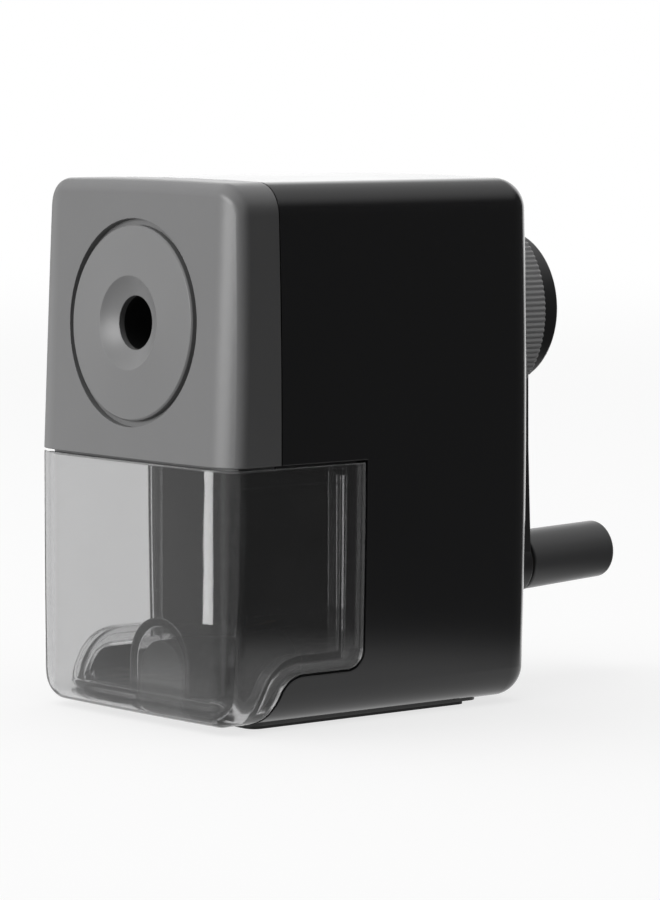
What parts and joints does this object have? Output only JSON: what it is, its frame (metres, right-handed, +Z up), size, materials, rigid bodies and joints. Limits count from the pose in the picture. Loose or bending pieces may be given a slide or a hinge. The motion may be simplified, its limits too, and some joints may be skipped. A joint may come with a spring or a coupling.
{
  "type": "crank pencil sharpener",
  "caption": "Desk-top pencil sharpener turned by a rear crank, with a round pencil entry, a clear shavings drawer and a point adjuster.",
  "frame": {"origin": "on the table, at the middle of the body: centre of its width and of its depth without the crank", "axes": "+Z up, -Y out of the pencil entry, +Y towards the crank, +X to the right of somebody facing the entry"},
  "size_m": [0.0696, 0.1384, 0.1162],
  "materials": {
    "black_gloss": "glossy moulded black",
    "grey_shell": "satin mid grey",
    "grey_disc": "satin mid grey",
    "smoke_clear": "smoke-tinted clear, polished",
    "black_satin": "satin black",
    "grey_satin": "satin dark grey",
    "dark_grip": "satin dark grey",
    "natural_plastic": "natural moulded acetal",
    "frame_plastic": "dark moulded plastic",
    "foot_rubber": "ribbed rubber",
    "plate_steel": "black painted steel",
    "steel": "machined steel",
    "plated": "bright zinc plate",
    "cutter_steel": "ground tool steel",
    "brass": "turned brass"
  },
  "bodies": {
    "body": {"housing": "black_gloss", "front_bezel": "grey_shell", "guide_disc": "grey_disc", "entry_sleeve": "black_satin", "disc_screws": "plated", "pencil_guide": "frame_plastic", "base_plate": "plate_steel", "rubber_foot": "foot_rubber", "clamp_socket": "black_satin", "base_screws": "plated", "cutter_frame": "frame_plastic", "frame_screws": "plated", "front_bush": "brass", "rear_bush": "brass", "ring_gear": "natural_plastic", "thrust_washer": "natural_plastic", "collar_guide_pins": "steel", "adjuster_clip": "steel", "click_spring": "steel"},
    "crank": {"crank_arm": "black_satin", "hub_insert": "brass", "hub_screw": "plated", "hub_cap": "black_satin", "drive_shaft": "steel", "cutter_carrier": "frame_plastic", "cutter_axle": "steel", "handle_pin": "plated", "handle_washer": "natural_plastic"},
    "cutter": {"helical_cutter": "cutter_steel", "cutter_pinion": "brass"},
    "stop": {"stop_rod": "steel", "cross_pin": "steel"},
    "grip": {"handle_grip": "dark_grip", "handle_cap": "dark_grip"},
    "drawer": {"shavings_drawer": "smoke_clear"},
    "adjuster": {"adjuster_ring": "grey_satin"},
    "collar": {"stop_collar": "natural_plastic"}
  },
  "joints": [
    {"name": "crank_turn", "type": "hinge", "parent": "body", "child": "crank", "pos_m": [0, 0.05, 0.0855], "axis": [0, 1, 0], "continuous": true},
    {"name": "cutter_spin", "type": "hinge", "parent": "crank", "child": "cutter", "pos_m": [0, 0, 0.0948], "axis": [0, 0.9833, -0.1822], "continuous": true},
    {"name": "grip_spin", "type": "hinge", "parent": "crank", "child": "grip", "pos_m": [0, 0.06508, 0.02636], "axis": [0, 0.999, 0.0436], "continuous": true},
    {"name": "drawer_slide", "type": "slide", "parent": "body", "child": "drawer", "axis": [0, -1, 0], "range_m": [0, 0.075]},
    {"name": "adjust_turn", "type": "hinge", "parent": "body", "child": "adjuster", "pos_m": [0, 0.05, 0.0855], "axis": [0, 1, 0], "range_deg": [0, 120]},
    {"name": "collar_slide", "type": "slide", "parent": "body", "child": "collar", "axis": [0, -1, 0], "range_m": [0, 0.002]},
    {"name": "stop_slide", "type": "slide", "parent": "crank", "child": "stop", "axis": [0, -1, 0], "range_m": [0, 0.002]}
  ],
  "couplings": [
    {"joint": "cutter_spin", "follows": "crank_turn", "ratio": -2.8},
    {"joint": "collar_slide", "follows": "adjust_turn", "m_per_rad": 0.00095},
    {"joint": "stop_slide", "follows": "adjust_turn", "m_per_rad": 0.00095}
  ]
}
